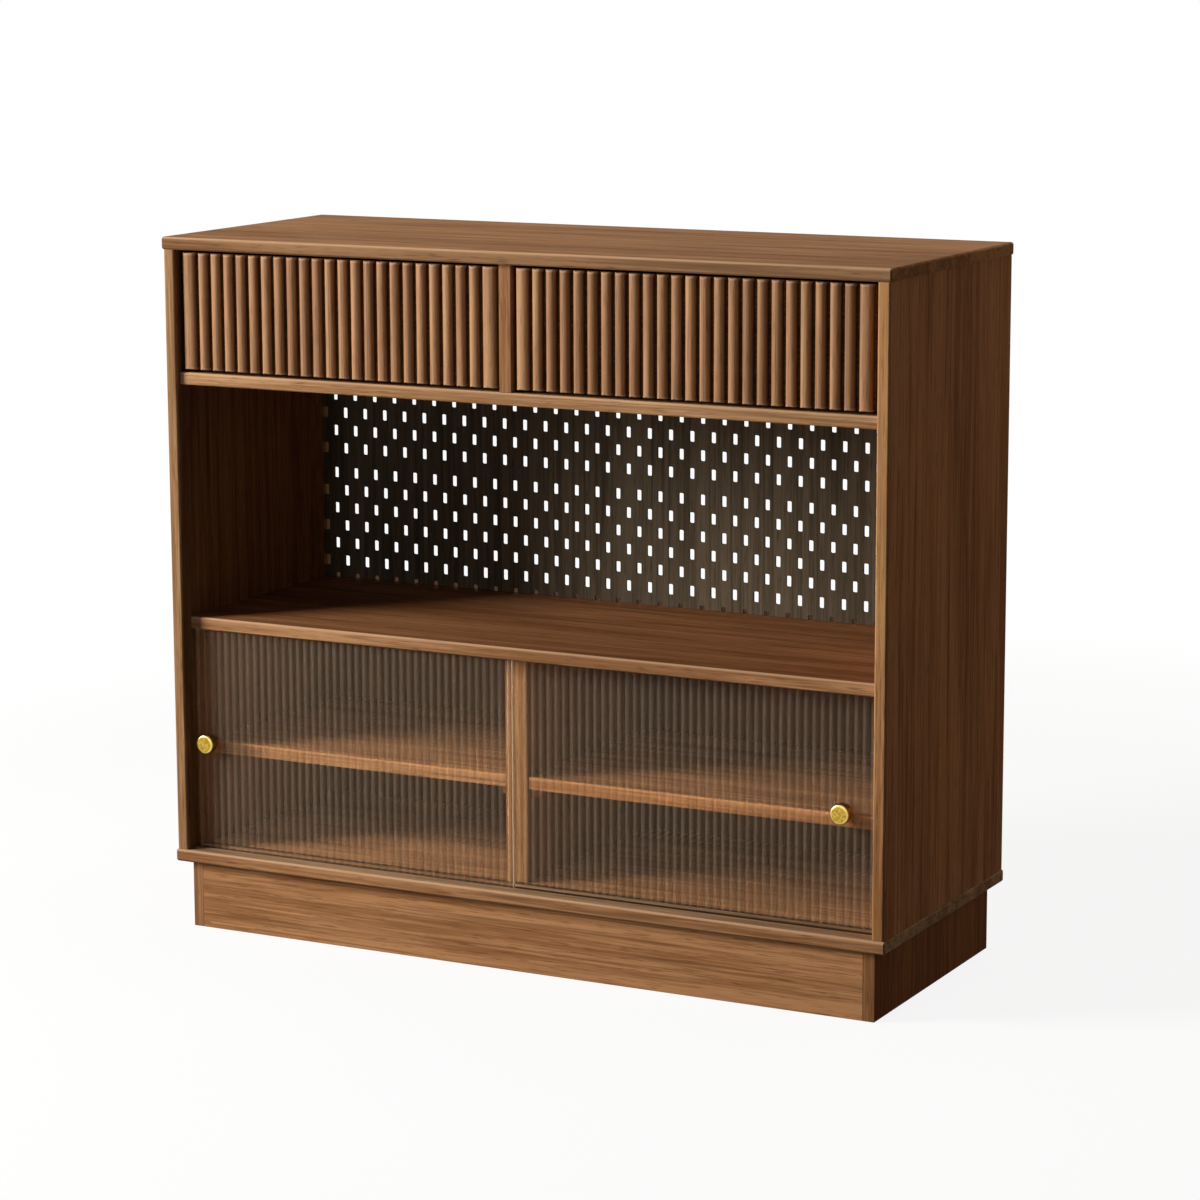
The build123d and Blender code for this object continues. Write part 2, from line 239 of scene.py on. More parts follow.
def wood(
    name,
    grain,
    seed,
    tones,
    specular=WOOD_SPECULAR,
    painted_highlight=None,
    box=None,
    by_island=0.0,
    band_lighting=None,
    figure=0.13,
    recess_shade=None,
):
    """Straight-grained wood: broad tone, bands, streaks, rings and pores stretched along the grain.

    A smaller figure gives a stronger contrast, the front-edge tint paints light or shade on the front
    face, the recess range paints shade between two depths, the edge mask paints a lighter highlight, and
    by_island varies separate bars.
    """
    light, dark, pore = tones
    made, tree, shader = blank_material(name)
    place = object_place(tree)
    turned = node(
        tree,
        "ShaderNodeMapping",
        None,
        Vector=place,
        Location=[seed * step for step in SEED_STEPS],
        Rotation=GRAIN_TURN[grain],
    ).outputs[0]

    def grained(along, *look):
        stretched = node(tree, "ShaderNodeMapping", None, Vector=turned, Scale=(along, 1, 1)).outputs[0]
        return noise(tree, stretched, *look)

    streaks = grained(*STREAKS)
    tone = math_node(tree, "MULTIPLY", grained(*BROAD), BROAD_SHARE)
    tone = math_node(tree, "ADD", tone, math_node(tree, "MULTIPLY", grained(*BANDS), BANDS_SHARE))
    tone = math_node(tree, "ADD", tone, math_node(tree, "MULTIPLY", streaks, STREAKS_SHARE))
    tone = ramped(tree, tone, MEAN - figure, MEAN + figure)
    if by_island:
        chance = node(tree, "ShaderNodeNewGeometry").outputs["Random Per Island"]
        swing = math_node(tree, "MULTIPLY", math_node(tree, "SUBTRACT", chance, MEAN), by_island)
        tone = math_node(tree, "ADD", tone, swing, True)
    colour = mixed(tree, tone, dark, light)
    mark = ramped(tree, grained(*PORES), *PORE_SPAN, 0.0, PORE_SHARE)
    line = ramped(tree, away_from(tree, grained(*RINGS), MEAN), 0.0, RING_WIDTH, RING_SHARE, 0.0)
    colour = mixed(tree, math_node(tree, "MAXIMUM", mark, line), colour, pore)
    # painted light and shade: the front face tinted lighter or darker than the board's other faces
    if band_lighting:
        edge = near(tree, axes(tree, place)[1], box[0][1], BAND_LIGHTING_REACH)
        colour = mixed(tree, edge, colour, (*band_lighting, 1.0), "MULTIPLY")
    # painted shade: darker towards the back of the box
    if recess_shade:
        shade = ramped(tree, axes(tree, place)[1], *recess_shade, 0.0, RECESS_SHADE_SHARE)
        colour = mixed(tree, shade, colour, RECESS_SHADE_TONE)
    # painted highlight: a lighter tone along the edges that the mask picks
    if painted_highlight:
        highlight_mask = math_node(tree, "MULTIPLY", painted_highlight(tree, place, box), EDGE_HIGHLIGHT_SHARE)
        colour = mixed(tree, highlight_mask, colour, EDGE_HIGHLIGHT_TONE)
    tree.links.new(colour, shader.inputs["Base Color"])
    tree.links.new(ramped(tree, streaks, *NOISE_SPAN, *WOOD_ROUGH), shader.inputs["Roughness"])
    shader.inputs["Specular IOR Level"].default_value = specular
    relief = math_node(tree, "SUBTRACT", math_node(tree, "MULTIPLY", streaks, STREAK_RELIEF), mark)
    fine_relief(tree, shader, GRAIN_BUMP, GRAIN_RELIEF, relief)
    return made


# CAD nodes: a material each, and their sharp edges softly rounded

WELD = 0.01 * MM
ROUNDED_ANGLE = math.radians(30)


def dress(name, material, radius, segments=2):
    """Give a CAD node its material and round its edges by a radius in millimetres."""
    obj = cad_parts[name]
    obj.data.materials.clear()
    obj.data.materials.append(material)
    if radius:
        weld = obj.modifiers.new("weld", "WELD")
        weld.merge_threshold = WELD
        bevel = obj.modifiers.new("bevel", "BEVEL")
        bevel.width = radius * MM
        bevel.segments = segments
        bevel.limit_method = "ANGLE"
        bevel.angle_limit = ROUNDED_ANGLE
        bevel.harden_normals = True


# Tints of the walnut, board by board, and of the bands along the front edges. Together with the board's
# tint, the band tints make each front face lighter or darker than its other faces: painted light and shade
# laid over a real edge-band tone.
PLAIN = (1.0, 1.0, 1.0)
DARK = (0.9, 0.9, 0.9)
# painted shade: a darkened walnut for the lower partition, whose faces sit in shade
SHADE = (0.7, 0.7, 0.7)
# painted shade: a darkened walnut for the drawer backing boards, standing for the shade in the gaps
# between the slats
DEEP = (0.35, 0.35, 0.35)
TOP = (1.06, 1.03, 0.93)
TOP_BAND_LIGHTING = (0.75, 0.82, 0.97)
INNER = (1.1, 1.34, 1.6)
BOTTOM_BAND_LIGHTING = (0.95, 0.775, 0.64)
# painted shade: the left side panel darkened for its shaded inner face
LEFT_SIDE = (0.85, 0.95, 0.95)
LEFT_SIDE_BAND_LIGHTING = (1.38, 1.42, 1.52)
RIGHT_SIDE = (1.18, 1.08, 1.02)
RIGHT_SIDE_BAND_LIGHTING = (1.06, 1.17, 1.1)
DECK_BAND_LIGHTING = (1.36, 1.54, 1.66)
SHELF = (0.83, 0.725, 0.64)
SHELF_BAND_LIGHTING = (1.4, 1.66, 1.9)
DIVIDER_BAND_LIGHTING = (1.1, 1.1, 1.08)
PARTITION_BAND_LIGHTING = (1.4, 1.76, 1.98)
RIGHT_INNER_BAND_LIGHTING = (1.2, 1.16, 1.08)
PLINTH = (1.14, 1.11, 1.05)
# painted shade: the plinth's right side board darkened for its side face in shade, its front band brought
# back to plain walnut
PLINTH_SIDE = (0.7, 0.53, 0.38)
PLINTH_SIDE_BAND_LIGHTING = (1.36, 1.73, 2.33)
BOARD_FIGURE = 0.085

# node, grain direction, tint, tint of the front edge band (painted light and shade), edge radius in mm,
# painted highlight on the front arris
BOARDS = (
    ("top_panel", "X", TOP, TOP_BAND_LIGHTING, 1.0, True),
    ("bottom_panel", "X", INNER, BOTTOM_BAND_LIGHTING, 1.0, True),
    # the left side panel takes LEFT_SIDE: painted shade on its inner face
    ("left_side_panel", "Z", LEFT_SIDE, LEFT_SIDE_BAND_LIGHTING, 0.8, False),
    ("right_side_panel", "Z", RIGHT_SIDE, RIGHT_SIDE_BAND_LIGHTING, 0.8, False),
    ("drawer_deck", "X", PLAIN, DECK_BAND_LIGHTING, 0.8, True),
    ("main_shelf", "X", SHELF, SHELF_BAND_LIGHTING, 0.8, True),
    ("drawer_divider", "Z", PLAIN, DIVIDER_BAND_LIGHTING, 0.8, False),
    # the partition takes SHADE: painted shade
    ("lower_partition", "Z", SHADE, PARTITION_BAND_LIGHTING, 1.0, False),
    ("left_inner_shelf", "X", INNER, DARK, 0.8, True),
    ("right_inner_shelf", "X", INNER, RIGHT_INNER_BAND_LIGHTING, 0.8, True),
    ("shelf_cleats", "Y", DARK, None, 0.0, False),
    ("plinth_front", "X", PLINTH, None, 0.8, False),
    ("plinth_back", "X", DARK, None, 0.8, False),
    ("plinth_left_side", "Z", PLAIN, None, 0.8, False),
    # the plinth's right side takes PLINTH_SIDE: painted shade on its side face
    ("plinth_right_side", "Z", PLINTH_SIDE, PLINTH_SIDE_BAND_LIGHTING, 0.8, False),
    ("plinth_brace", "Y", DARK, None, 0.0, False),
    ("plinth_corner_blocks", "Z", DARK, None, 0.0, False),
    # the drawer backing boards take DEEP: painted shade for the gaps between the slats
    ("left_drawer_front", "X", DEEP, None, 0.5, False),
    ("right_drawer_front", "X", DEEP, None, 0.5, False),
)
for seed, (name, grain, tint, band_lighting, radius, painted_highlight) in enumerate(BOARDS, 1):
    made = wood(
        "walnut_" + name,
        grain,
        seed,
        tinted(WALNUT, tint),
        # painted highlight along the front arris of the boards marked for it
        painted_highlight=painted_arris_highlight if painted_highlight else None,
        box=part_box(name),
        band_lighting=band_lighting,
        figure=BOARD_FIGURE,
    )
    dress(name, made, radius)

BACK_SEED = 21
for seed, name in enumerate(("upper_back_panel", "lower_back_panel"), BACK_SEED):
    dress(name, wood("back_" + name, "Z", seed, BACK), 0.0)

BOX_SEEDS = {"left": 31, "right": 36}
# piece of a drawer box, grain direction, edge radius in mm
BOX_BOARDS = (("left_side", "Y", 0.6), ("right_side", "Y", 0.6), ("back", "X", 0.6), ("bottom", "X", 0.0))
for hand in HANDS:
    for seed, (part, grain, radius) in enumerate(BOX_BOARDS, BOX_SEEDS[hand]):
        name = f"{hand}_drawer_{part}"
        dress(name, wood("box_" + name, grain, seed, BIRCH), radius)


# Metal and plastic

ZINC_DULL = srgb(168, 170, 172)
ZINC_BRIGHT = srgb(196, 198, 200)
ZINC_CLOUD = 40.0
ZINC_LINES = 1500.0
ZINC_STRETCH = (1, 0.02, 1)
ZINC_ROUGH = (0.28, 0.42)
STEEL_RADIUS = 0.3

PLASTIC_CLOUD = 60.0
PLASTIC_GRAIN = 1200.0
PLASTIC_ROUGH = (0.5, 0.65)
PLASTIC_SPECULAR = 0.1
PLASTIC_BUMP = 0.1
PLASTIC_RELIEF = 0.2 * MM
PLASTIC_RADIUS = 0.2


def zinc_steel():
    """Zinc-plated runner steel with fine drawing lines along the runner."""
    made, tree, shader = blank_material("zinc_steel")
    place = object_place(tree)
    lines = node(tree, "ShaderNodeMapping", None, Vector=place, Scale=ZINC_STRETCH).outputs[0]
    fine = noise(tree, lines, ZINC_LINES)
    colour = mixed(tree, noise(tree, place, ZINC_CLOUD), ZINC_DULL, ZINC_BRIGHT)
    tree.links.new(colour, shader.inputs["Base Color"])
    tree.links.new(ramped(tree, fine, *NOISE_SPAN, *ZINC_ROUGH), shader.inputs["Roughness"])
    shader.inputs["Metallic"].default_value = 1.0
    return made


def moulded_plastic(name, dark, light):
    """Matt moulded plastic with a fine grain."""
    made, tree, shader = blank_material(name)
    place = object_place(tree)
    grain = noise(tree, place, PLASTIC_GRAIN, FINE_DETAIL)
    cloud = noise(tree, place, PLASTIC_CLOUD, FINE_DETAIL)
    tree.links.new(mixed(tree, cloud, dark, light), shader.inputs["Base Color"])
    tree.links.new(ramped(tree, grain, *NOISE_SPAN, *PLASTIC_ROUGH), shader.inputs["Roughness"])
    shader.inputs["Specular IOR Level"].default_value = PLASTIC_SPECULAR
    fine_relief(tree, shader, PLASTIC_BUMP, PLASTIC_RELIEF, grain)
    return made


STEEL = zinc_steel()
TRACK = moulded_plastic("track_plastic", srgb(50, 33, 22), srgb(62, 42, 28))
LATCH = moulded_plastic("latch_plastic", srgb(38, 30, 25), srgb(48, 39, 32))
for hand in HANDS:
    for member in ("cabinet", "middle", "drawer"):
        dress(f"{hand}_runner_{member}_members", STEEL, STEEL_RADIUS)
for name in ("lower_door_tracks", "upper_door_tracks"):
    dress(name, TRACK, PLASTIC_RADIUS, 1)
for name in ("push_latch_housings", "push_latch_plungers"):
    dress(name, LATCH, PLASTIC_RADIUS, 1)


# Pieces built here in place of CAD nodes


def piece(name, mesh, materials, body, node_name):
    """A finished piece that stands for one CAD node."""
    obj = bpy.data.objects.new(name, mesh)
    scene.collection.objects.link(obj)
    for material in materials:
        mesh.materials.append(material)
    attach(obj, body)
    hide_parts(node_name)
    return obj


def finished_mesh(work, name, crease):
    """A mesh from a bmesh, shaded smooth, with edges sharper than a crease angle in degrees kept sharp."""
    bmesh.ops.recalc_face_normals(work, faces=work.faces)
    work.normal_update()
    limit = math.radians(crease)
    for face in work.faces:
        face.smooth = True
    for edge in work.edges:
        edge.smooth = len(edge.link_faces) == 2 and edge.calc_face_angle() < limit
    mesh = bpy.data.meshes.new(name)
    work.to_mesh(mesh)
    work.free()
    return mesh


# Drawer slats: half-round bars whose ends roll over

SLAT_PITCH = 18.65 * MM
CAD_SLAT_GAP = 3.0 * MM
SLAT_GAP = 4.6 * MM
SLAT_FOOT = 1.6 * MM
SLAT_CROWN = 1.6 * MM
SLAT_STEPS = 20
SLAT_CREASE = 50
END_ROLL = 3.0 * MM
END_STEPS = 5
SLAT_COUNTS = {"left": 24, "right": 25}
SLAT_SEEDS = {"left": 41, "right": 42}
SLATS = (1.07, 1.05, 0.97)
SLAT_SPECULAR = 0.25
SLAT_SWING = 0.5
SLAT_FIGURE = 0.1


def slat_levels(bottom, top):
    """Heights of a bar's rings from bottom to top, and how far the rolled ends lower its crown."""
    lower = []
    for i in range(END_STEPS + 1):
        turn = math.pi / 2 * i / END_STEPS
        lower.append((bottom + END_ROLL * (1 - math.cos(turn)), END_ROLL * (1 - math.sin(turn))))
    upper = [(top - (height - bottom), drop) for height, drop in reversed(lower)]
    return lower + upper


def slat_section(half, depth):
    """A bar's half-round section on a low foot: places across it and how far each stands out."""
    section = [(-half, 0.0)]
    for i in range(SLAT_STEPS + 1):
        angle = math.pi * i / SLAT_STEPS
        section.append((-half * math.cos(angle), SLAT_FOOT + (depth - SLAT_FOOT) * math.sin(angle)))
    section.append((half, 0.0))
    return section


def slat_mesh(name, count):
    """All bars of one drawer front, inside the CAD slats' box."""
    low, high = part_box(name)
    back = high[1]
    depth = high[1] - low[1]
    start = low[0] - CAD_SLAT_GAP / 2
    width = high[0] - low[0] + CAD_SLAT_GAP
    end_width = (width - (count - 2) * SLAT_PITCH) / 2
    work = bmesh.new()
    for slat_width in [end_width] + [SLAT_PITCH] * (count - 2) + [end_width]:
        middle = start + slat_width / 2
        start += slat_width
        section = slat_section((slat_width - SLAT_GAP) / 2, depth)
        rings = []
        for height, drop in slat_levels(low[2], high[2]):
            ring = [(middle + x, back - min(reach, depth - drop), height) for x, reach in section]
            rings.append([work.verts.new(point) for point in ring])
        for lower, upper in zip(rings, rings[1:]):
            for i, a in enumerate(lower):
                j = (i + 1) % len(lower)
                work.faces.new((a, lower[j], upper[j], upper[i]))
        work.faces.new(list(reversed(rings[0])))
        work.faces.new(rings[-1])
    bmesh.ops.remove_doubles(work, verts=work.verts, dist=MERGE)
    return finished_mesh(work, name + "_bars", SLAT_CREASE)


for hand in HANDS:
    name = f"{hand}_drawer_slats"
    low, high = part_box(name)
    bars = wood(
        f"walnut_{hand}_slats",
        "Z",
        SLAT_SEEDS[hand],
        tinted(WALNUT, SLATS),
        specular=SLAT_SPECULAR,
        # painted highlight at the slats' ends
        painted_highlight=painted_end_highlight,
        box=(low, high),
        by_island=SLAT_SWING,
        figure=SLAT_FIGURE,
        # painted shade: the bars darker towards their foot
        recess_shade=(low[1] + SLAT_CROWN, high[1] - SLAT_FOOT),
    )
    mesh = slat_mesh(name, SLAT_COUNTS[hand])
    piece(f"{hand}_slat_bars", mesh, [bars], f"{hand}_drawer", name)


# Slotted back board: upright slots with round corners in a dark-stained board

SLOT_W = 7.0 * MM
SLOT_H = 14.2 * MM
SLOT_ROUND = 1.7 * MM
SLOT_CORNER_STEPS = 4
SLOT_PITCH_X = 30.69 * MM
SLOT_PITCH_Z = 24.2 * MM
SLOT_SHIFT = -3.0 * MM
SLOTS_WIDE = 32
# height of a group's first row, its rows, and 1 where that first row has one slot less
SLOT_GROUPS = ((684.3 * MM, 5, 0), (554.0 * MM, 7, 1))
LEAST_RIM = 1.0 * MM
PEG_SEED = 51


def slot_outline(x, z, floor):
    """An upright slot with round corners, cut off at the board's lower edge."""
    points = []
    for quarter, (side, end) in enumerate(((1, 1), (-1, 1), (-1, -1), (1, -1))):
        centre_x = x + side * (SLOT_W / 2 - SLOT_ROUND)
        centre_z = z + end * (SLOT_H / 2 - SLOT_ROUND)
        for i in range(SLOT_CORNER_STEPS + 1):
            angle = math.pi / 2 * (quarter + i / SLOT_CORNER_STEPS)
            height = max(centre_z + SLOT_ROUND * math.sin(angle), floor + LEAST_RIM)
            points.append((centre_x + SLOT_ROUND * math.cos(angle), height))
    return points


def slot_places():
    """The middle of every slot, row by row."""
    for first, rows, short in SLOT_GROUPS:
        for row in range(rows):
            wide = SLOTS_WIDE - (row + short) % 2
            for i in range(wide):
                x = (i - (wide - 1) / 2) * SLOT_PITCH_X + SLOT_SHIFT
                yield x, first - row * SLOT_PITCH_Z


def pegboard_mesh():
    """The board as a flat outline with holes, given its thickness."""
    low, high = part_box("pegboard")
    curve = bpy.data.curves.new("pegboard_outline", "CURVE")
    curve.dimensions = "2D"
    curve.fill_mode = "BOTH"
    curve.extrude = (high[1] - low[1]) / 2

    def loop(points):
        spline = curve.splines.new("POLY")
        spline.points.add(len(points) - 1)
        for point, (x, z) in zip(spline.points, points):
            point.co = (x, z, 0.0, 1.0)
        spline.use_cyclic_u = True

    loop([(low[0], low[2]), (high[0], low[2]), (high[0], high[2]), (low[0], high[2])])
    for x, z in slot_places():
        loop(slot_outline(x, z, low[2]))
    holder = bpy.data.objects.new("pegboard_outline", curve)
    scene.collection.objects.link(holder)
    bpy.context.view_layer.update()
    mesh = bpy.data.meshes.new_from_object(holder.evaluated_get(bpy.context.evaluated_depsgraph_get()))
    bpy.data.objects.remove(holder)
    stand = Matrix.Translation((0, (low[1] + high[1]) / 2, 0)) @ Matrix.Rotation(math.pi / 2, 4, "X")
    mesh.transform(stand)
    work = bmesh.new()
    work.from_mesh(mesh)
    bmesh.ops.remove_doubles(work, verts=work.verts, dist=MERGE)
    bmesh.ops.recalc_face_normals(work, faces=work.faces)
    work.to_mesh(mesh)
    work.free()
    mesh.name = "pegboard_panel"
    return mesh


smoked = wood("smoked_board", "Z", PEG_SEED, SMOKED)
piece("pegboard_panel", pegboard_mesh(), [smoked], "carcass", "pegboard")


# Fluted panes

FLUTE = 10.86 * MM
FLUTE_DEPTH = 2.0 * MM
FLUTE_STEPS = 14
# in pitches: the middle of a rib, and where the valley beside it starts and ends, from that middle
RIB_MIDDLE = 0.5
VALLEY_SPAN = (0.38, 0.5)
PANE_END = 2.0 * MM
PANE_END_STEPS = 8
PANE_CREASE = 25

GLASS_TONE = srgb(203, 184, 162)
# painted shade: a darker tint in the valleys between ribs
VALLEY_SHADE_TONE = srgb(174, 158, 139)
GLASS_IOR = 1.06
GLASS_ROUGH = (0.0, 0.012)
GLASS_CLOUD = 14.0
HAZE_CLEAR = 0.04
# painted highlight: extra haze in a stripe along one flank of each rib, standing in for the ribs'
# highlights
FLANK_HIGHLIGHT_HAZE = 0.1
FLANK_HIGHLIGHT_RISE = 0.18
FLANK_HIGHLIGHT_END = 0.48
HAZE_PATCHES = (0.8, 1.15)

GROUND_DARK = srgb(190, 160, 126)
GROUND_LIGHT = srgb(214, 186, 152)
GROUND_GRIT = 900.0
GROUND_ROUGH = (0.35, 0.5)
GROUND_CLEAR = 0.25


def rib_step(box):
    """The ribs' pitch: a whole number of ribs fills the pane."""
    width = box[1][0] - box[0][0]
    return width / round(width / FLUTE)


def pane_outline(box):
    """A pane's plan: its ribbed face between the ends, then its right and left half-round ends."""
    low, high = box
    step = rib_step(box)
    radius = ((step / 2) ** 2 + FLUTE_DEPTH**2) / (2 * FLUTE_DEPTH)
    reach = math.asin(step / 2 / radius)
    valley = low[1] + FLUTE_DEPTH
    margin = low[0] + PANE_END, high[0] - PANE_END
    face = []
    for rib in range(round((high[0] - low[0]) / step)):
        for i in range(FLUTE_STEPS):
            turn = reach * (2 * i / FLUTE_STEPS - 1)
            x = low[0] + (rib + RIB_MIDDLE) * step + radius * math.sin(turn)
            if margin[0] < x < margin[1]:
                face.append((x, low[1] + radius * (1 - math.cos(turn))))
    end_radius = (high[1] - valley) / 2
    end = []
    for i in range(PANE_END_STEPS + 1):
        angle = math.pi * i / PANE_END_STEPS
        end.append((end_radius * (1 - math.sin(angle)), valley + end_radius * (1 - math.cos(angle))))
    right = [(margin[1], valley)] + [(high[0] - x, y) for x, y in end] + [(margin[1], high[1])]
    left = [(margin[0], high[1])] + [(low[0] + x, y) for x, y in reversed(end)] + [(margin[0], valley)]
    return face, right, left


def pane_mesh(name, ground_end):
    """A pane with round upright ribs in front and half-round ends, one of them ground."""
    low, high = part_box(name)
    face, right, left = pane_outline((low, high))
    outline = face + right + left
    first = len(face) if ground_end == "right" else len(face) + len(right)
    ground = range(first, first + len(right) - 1)
    work = bmesh.new()
    bottom, top = [[work.verts.new((x, y, z)) for x, y in outline] for z in (low[2], high[2])]
    for i in range(len(outline)):
        j = (i + 1) % len(outline)
        side = work.faces.new((bottom[i], bottom[j], top[j], top[i]))
        side.material_index = int(i in ground)
    work.faces.new(list(reversed(bottom)))
    work.faces.new(top)
    return finished_mesh(work, name + "_pane", PANE_CREASE)


def fluted_glass(name, box):
    """Clear glass with a faint warm cast and an even haze, with a painted highlight as extra haze along
    one flank of every rib and painted shade as a darker tint in the valleys.
    """
    made, tree, shader = blank_material(name)
    place = object_place(tree)
    across = math_node(tree, "SUBTRACT", axes(tree, place)[0], box[0][0])
    phase = math_node(tree, "FRACT", math_node(tree, "DIVIDE", across, rib_step(box)))
    # painted highlight: a haze stripe rising and falling across one flank of each rib
    rise = ramped(tree, phase, 0.0, FLANK_HIGHLIGHT_RISE)
    fall = ramped(tree, phase, FLANK_HIGHLIGHT_RISE, FLANK_HIGHLIGHT_END, 1.0, 0.0)
    cloud = noise(tree, place, GLASS_CLOUD)
    patches = ramped(tree, cloud, *NOISE_SPAN, *HAZE_PATCHES)
    flank_highlight = math_node(tree, "MULTIPLY", math_node(tree, "MULTIPLY", rise, fall), patches)
    hidden = math_node(tree, "MULTIPLY", flank_highlight, FLANK_HIGHLIGHT_HAZE - HAZE_CLEAR)
    clear = math_node(tree, "SUBTRACT", 1.0 - HAZE_CLEAR, hidden)
    shader.inputs["Transmission Weight"].default_value = 1.0 - (HAZE_CLEAR + FLANK_HIGHLIGHT_HAZE) / 2
    tree.links.new(clear, shader.inputs["Transmission Weight"])
    tree.links.new(ramped(tree, cloud, *NOISE_SPAN, *GLASS_ROUGH), shader.inputs["Roughness"])
    # painted shade: a darker tint towards each valley
    valley = ramped(tree, away_from(tree, phase, RIB_MIDDLE), *VALLEY_SPAN)
    tree.links.new(mixed(tree, valley, GLASS_TONE, VALLEY_SHADE_TONE), shader.inputs["Base Color"])
    shader.inputs["IOR"].default_value = GLASS_IOR
    return made


def ground_edge():
    """The ground end of a pane, where the doors meet: pale and matt."""
    made, tree, shader = blank_material("ground_glass_edge")
    grit = noise(tree, object_place(tree), GROUND_GRIT, FINE_DETAIL)
    tree.links.new(mixed(tree, grit, GROUND_DARK, GROUND_LIGHT), shader.inputs["Base Color"])
    tree.links.new(ramped(tree, grit, *NOISE_SPAN, *GROUND_ROUGH), shader.inputs["Roughness"])
    shader.inputs["Transmission Weight"].default_value = GROUND_CLEAR
    return made



# Knobs: turned brass drums with a round rim

KNOB_STEPS = 64
KNOB_CREASE = 35
# the flat part of each end, as a share of the radius, the depth of its rim, as a share of the length,
# and the rim's steps
KNOB_FRONT = (0.74, 0.24, 5)
KNOB_BACK = (0.9, 0.08, 2)
RIM_FULLNESS = 0.83

BRASS_DULL = srgb(158, 128, 42)
BRASS_BRIGHT = srgb(196, 164, 72)
BRASS_RIM_HIGHLIGHT = srgb(228, 202, 124)
BRASS_CLOUD = 320.0
BRASS_CLOUD_SPAN = (0.35, 0.65)
BRASS_FINE = 2600.0
BRASS_ROUGH = (0.24, 0.36)
# painted highlight: where the lighter ring lies on the knob's front rim
RIM_START = 0.72
RIM_END = 0.9
RIM_REACH = 3.0 * MM


def turned_rim(face, depth, steps):
    """A full round edge, from a flat face outwards, in shares of the knob's radius and length."""
    edge = []
    for i in range(steps + 1):
        turn = math.pi / 2 * i / steps
        outwards = math.sin(turn) ** RIM_FULLNESS
        along = 1.0 - math.cos(turn) ** RIM_FULLNESS
        edge.append((face + (1.0 - face) * outwards, depth * along))
    return edge


def knob_mesh(name):
    """A turned knob inside the CAD knob's box, its axis along Y."""
    low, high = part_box(name)
    middle = (low + high) / 2
    radius = high[0] - middle[0]
    length = high[1] - low[1]
    back = [(share, 1.0 - along) for share, along in reversed(turned_rim(*KNOB_BACK))]
    profile = turned_rim(*KNOB_FRONT) + back
    work = bmesh.new()
    rings = []
    for share, along in profile:
        ring = []
        for i in range(KNOB_STEPS):
            angle = 2 * math.pi * i / KNOB_STEPS
            x = middle[0] + radius * share * math.cos(angle)
            z = middle[2] + radius * share * math.sin(angle)
            ring.append(work.verts.new((x, low[1] + along * length, z)))
        rings.append(ring)
    for a, b in zip(rings, rings[1:]):
        for i in range(KNOB_STEPS):
            j = (i + 1) % KNOB_STEPS
            work.faces.new((a[i], a[j], b[j], b[i]))
    for ring, y in ((rings[0], low[1]), (rings[-1], high[1])):
        centre = work.verts.new((middle[0], y, middle[2]))
        for i in range(KNOB_STEPS):
            work.faces.new((centre, ring[i], ring[(i + 1) % KNOB_STEPS]))
    return finished_mesh(work, name + "_turned", KNOB_CREASE)


def brass(name, box):
    """Satin brass: a mottled face, with a painted highlight around its front rim."""
    made, tree, shader = blank_material(name)
    place = object_place(tree)
    low, high = box
    middle = (low + high) / 2
    radius = high[0] - middle[0]
    away = vector_node(tree, "SUBTRACT", i0=place, i1=middle)[0]
    flat = vector_node(tree, "MULTIPLY", i0=away, i1=(1, 0, 1))[0]
    out = vector_node(tree, "LENGTH", i0=flat)["Value"]
    # painted highlight: a lighter ring around the front rim
    rim = ramped(tree, out, RIM_START * radius, RIM_END * radius)
    front = near(tree, axes(tree, place)[1], low[1], RIM_REACH)
    cloud = ramped(tree, noise(tree, place, BRASS_CLOUD), *BRASS_CLOUD_SPAN)
    colour = mixed(tree, cloud, BRASS_DULL, BRASS_BRIGHT)
    colour = mixed(tree, math_node(tree, "MULTIPLY", rim, front), colour, BRASS_RIM_HIGHLIGHT)
    tree.links.new(colour, shader.inputs["Base Color"])
    fine = noise(tree, place, BRASS_FINE, FINE_DETAIL)
    tree.links.new(ramped(tree, fine, *NOISE_SPAN, *BRASS_ROUGH), shader.inputs["Roughness"])
    shader.inputs["Metallic"].default_value = 1.0
    return made


# Doors: a pane whose ground end meets the other door's, and a knob

EDGE = ground_edge()
for hand, meeting_end in (("left", "right"), ("right", "left")):
    glass_name = f"{hand}_door_glass"
    glass = fluted_glass(f"{hand}_fluted_glass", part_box(glass_name))
    mesh = pane_mesh(glass_name, meeting_end)
    pane = piece(f"{hand}_pane", mesh, [glass, EDGE], f"{hand}_door", glass_name)
    pane.visible_shadow = False
    knob_name = f"{hand}_door_knob"
    metal = brass(f"{hand}_satin_brass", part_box(knob_name))
    piece(f"{hand}_turned_knob", knob_mesh(knob_name), [metal], f"{hand}_door", knob_name)


# Floor, world and lights

WHITE = (1.0, 1.0, 1.0, 1.0)
FILL = (0.04, 0.0365, 0.033, 1.0)
FLOOR_REACH = 12.0
FLOOR_TONE = (0.14, 0.14, 0.14, 1.0)
FLOOR_ROUGH = 0.9
FLOOR_GLOW = 0.88
FLOOR_FADE = (1.2, 3.0)

